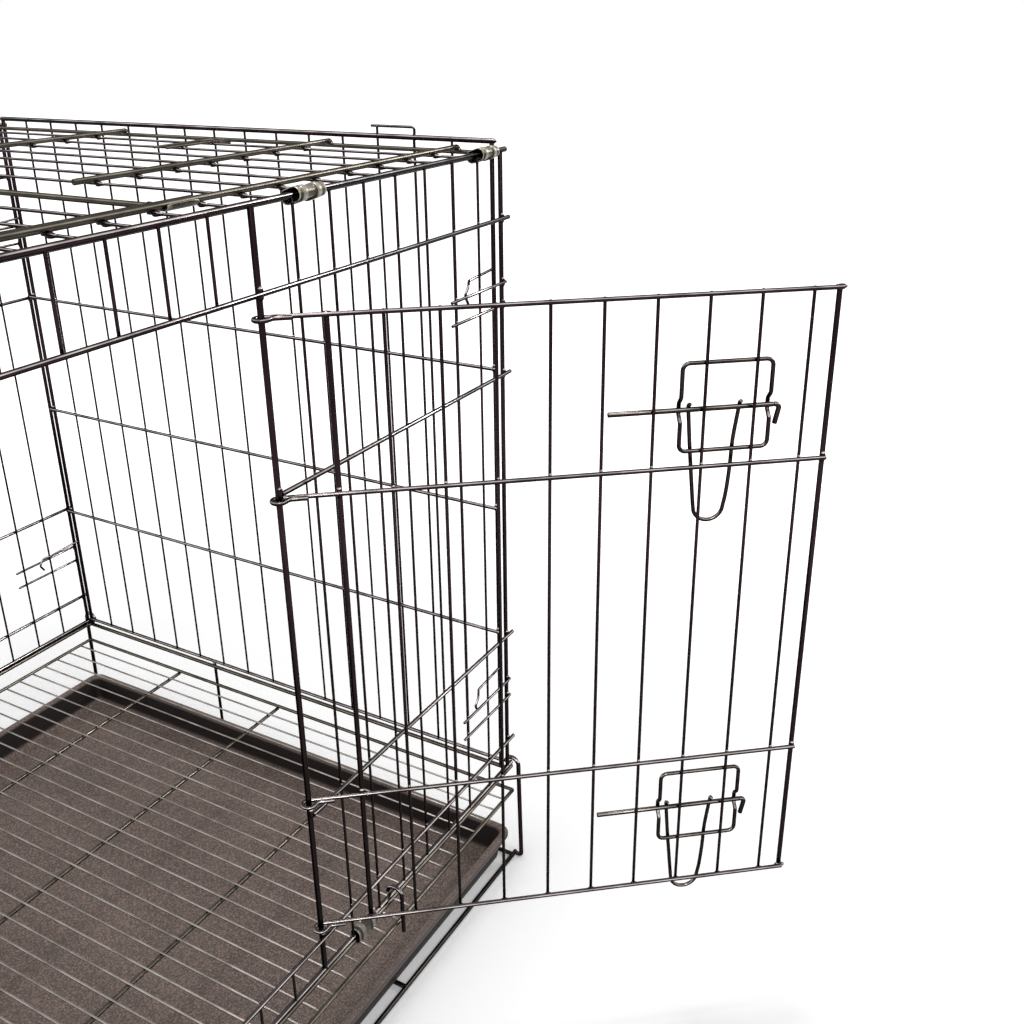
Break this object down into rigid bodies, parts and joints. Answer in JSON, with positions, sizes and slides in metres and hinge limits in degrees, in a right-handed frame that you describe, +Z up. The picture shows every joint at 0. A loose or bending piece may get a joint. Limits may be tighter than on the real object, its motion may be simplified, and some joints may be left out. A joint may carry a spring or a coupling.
{
  "type": "folding wire dog crate",
  "caption": "Wire dog crate on a raised base with a side door that stands open, a hinged lid with its own door, sliding bolt latches, a floor grid and a drop tray.",
  "frame": {"origin": "centre of the crate's footprint, on the floor, in the bottom flat of the lower frame's middle crossbar", "axes": "+Z up; X along the long sides, +X towards the hinged end of the side door; -Y is the front, where the side door is"},
  "size_m": [0.9296, 0.9393, 0.748],
  "materials": {
    "black_wire": "dark bronze-black coated steel wire, semi-gloss",
    "latch_wire": "brown-grey coated steel wire, semi-gloss",
    "clip_metal": "olive-grey coated sheet steel, satin",
    "tray_plastic": "dark brown pan, matt with a light grain"
  },
  "bodies": {
    "crate": {"front_panel": "black_wire", "back_panel": "black_wire", "right_end_panel": "black_wire", "left_end_panel": "black_wire", "right_front_upper_hook": "black_wire", "right_front_lower_hook": "black_wire", "right_back_upper_hook": "black_wire", "right_back_lower_hook": "black_wire", "left_front_upper_hook": "black_wire", "left_front_lower_hook": "black_wire", "left_back_upper_hook": "black_wire", "left_back_lower_hook": "black_wire", "front_right_bottom_clip": "clip_metal", "front_left_bottom_clip": "clip_metal", "back_right_bottom_clip": "clip_metal", "back_left_bottom_clip": "clip_metal", "upper_catch": "latch_wire", "lower_catch": "latch_wire", "base_front_rod": "black_wire", "base_back_rod": "black_wire", "base_right_rod": "black_wire", "base_left_rod": "black_wire", "floor_grid": "black_wire", "lower_frame": "black_wire", "right_front_leg": "black_wire", "right_back_leg": "black_wire", "left_front_leg": "black_wire", "left_back_leg": "black_wire", "front_right_upright": "black_wire", "front_left_upright": "black_wire", "back_right_upright": "black_wire", "back_left_upright": "black_wire", "right_end_upright": "black_wire", "left_end_upright": "black_wire"},
    "side_door": {"side_door": "black_wire", "upper_latch_frame": "latch_wire", "lower_latch_frame": "latch_wire"},
    "upper_bolt": {"upper_bolt": "latch_wire"},
    "upper_handle": {"upper_latch_handle": "latch_wire", "upper_bolt_tip": "latch_wire"},
    "lower_bolt": {"lower_bolt": "latch_wire"},
    "lower_handle": {"lower_latch_handle": "latch_wire", "lower_bolt_tip": "latch_wire"},
    "lid": {"lid_panel": "black_wire", "lid_clip_right_outer": "clip_metal", "lid_clip_right_inner": "clip_metal", "lid_clip_left_inner": "clip_metal", "lid_clip_left_outer": "clip_metal", "right_lid_hairpin": "latch_wire", "left_lid_hairpin": "latch_wire", "top_catch": "latch_wire"},
    "top_door": {"top_door": "black_wire", "top_door_clip_right": "clip_metal", "top_door_clip_left": "clip_metal", "top_latch_frame": "latch_wire"},
    "top_bolt": {"top_bolt": "latch_wire"},
    "top_handle": {"top_latch_handle": "latch_wire"},
    "tray": {"tray": "tray_plastic"}
  },
  "joints": [
    {"name": "side_door_hinge", "type": "hinge", "parent": "crate", "child": "side_door", "pos_m": [0.152, -0.3116, 0.4], "axis": [0, 0, 1], "range_deg": [-128.98, 25]},
    {"name": "upper_bolt_slide", "type": "slide", "parent": "side_door", "child": "upper_bolt", "axis": [0.6291, -0.7774, 0], "range_m": [0, 0.014]},
    {"name": "upper_handle_turn", "type": "hinge", "parent": "upper_bolt", "child": "upper_handle", "pos_m": [0.34926, -0.53789, 0.5769], "axis": [0.6291, -0.7774, 0], "range_deg": [0, 110]},
    {"name": "lower_bolt_slide", "type": "slide", "parent": "side_door", "child": "lower_bolt", "axis": [0.6291, -0.7774, 0], "range_m": [0, 0.014]},
    {"name": "lower_handle_turn", "type": "hinge", "parent": "lower_bolt", "child": "lower_handle", "pos_m": [0.34926, -0.53789, 0.232], "axis": [0.6291, -0.7774, 0], "range_deg": [0, 110]},
    {"name": "lid_hinge", "type": "hinge", "parent": "crate", "child": "lid", "pos_m": [0, -0.3116, 0.7315], "axis": [1, 0, 0], "range_deg": [0, 110]},
    {"name": "top_door_hinge", "type": "hinge", "parent": "lid", "child": "top_door", "pos_m": [-0.038, -0.2736, 0.7329], "axis": [1, 0, 0], "range_deg": [0, 120]},
    {"name": "top_bolt_slide", "type": "slide", "parent": "top_door", "child": "top_bolt", "axis": [0, 1, 0], "range_m": [0, 0.014]},
    {"name": "top_handle_turn", "type": "hinge", "parent": "top_bolt", "child": "top_handle", "pos_m": [-0.0616, 0, 0.73769], "axis": [0, 1, 0], "range_deg": [0, 110]},
    {"name": "tray_slide", "type": "slide", "parent": "crate", "child": "tray", "axis": [0, -1, 0], "range_m": [0, 0.45]}
  ]
}
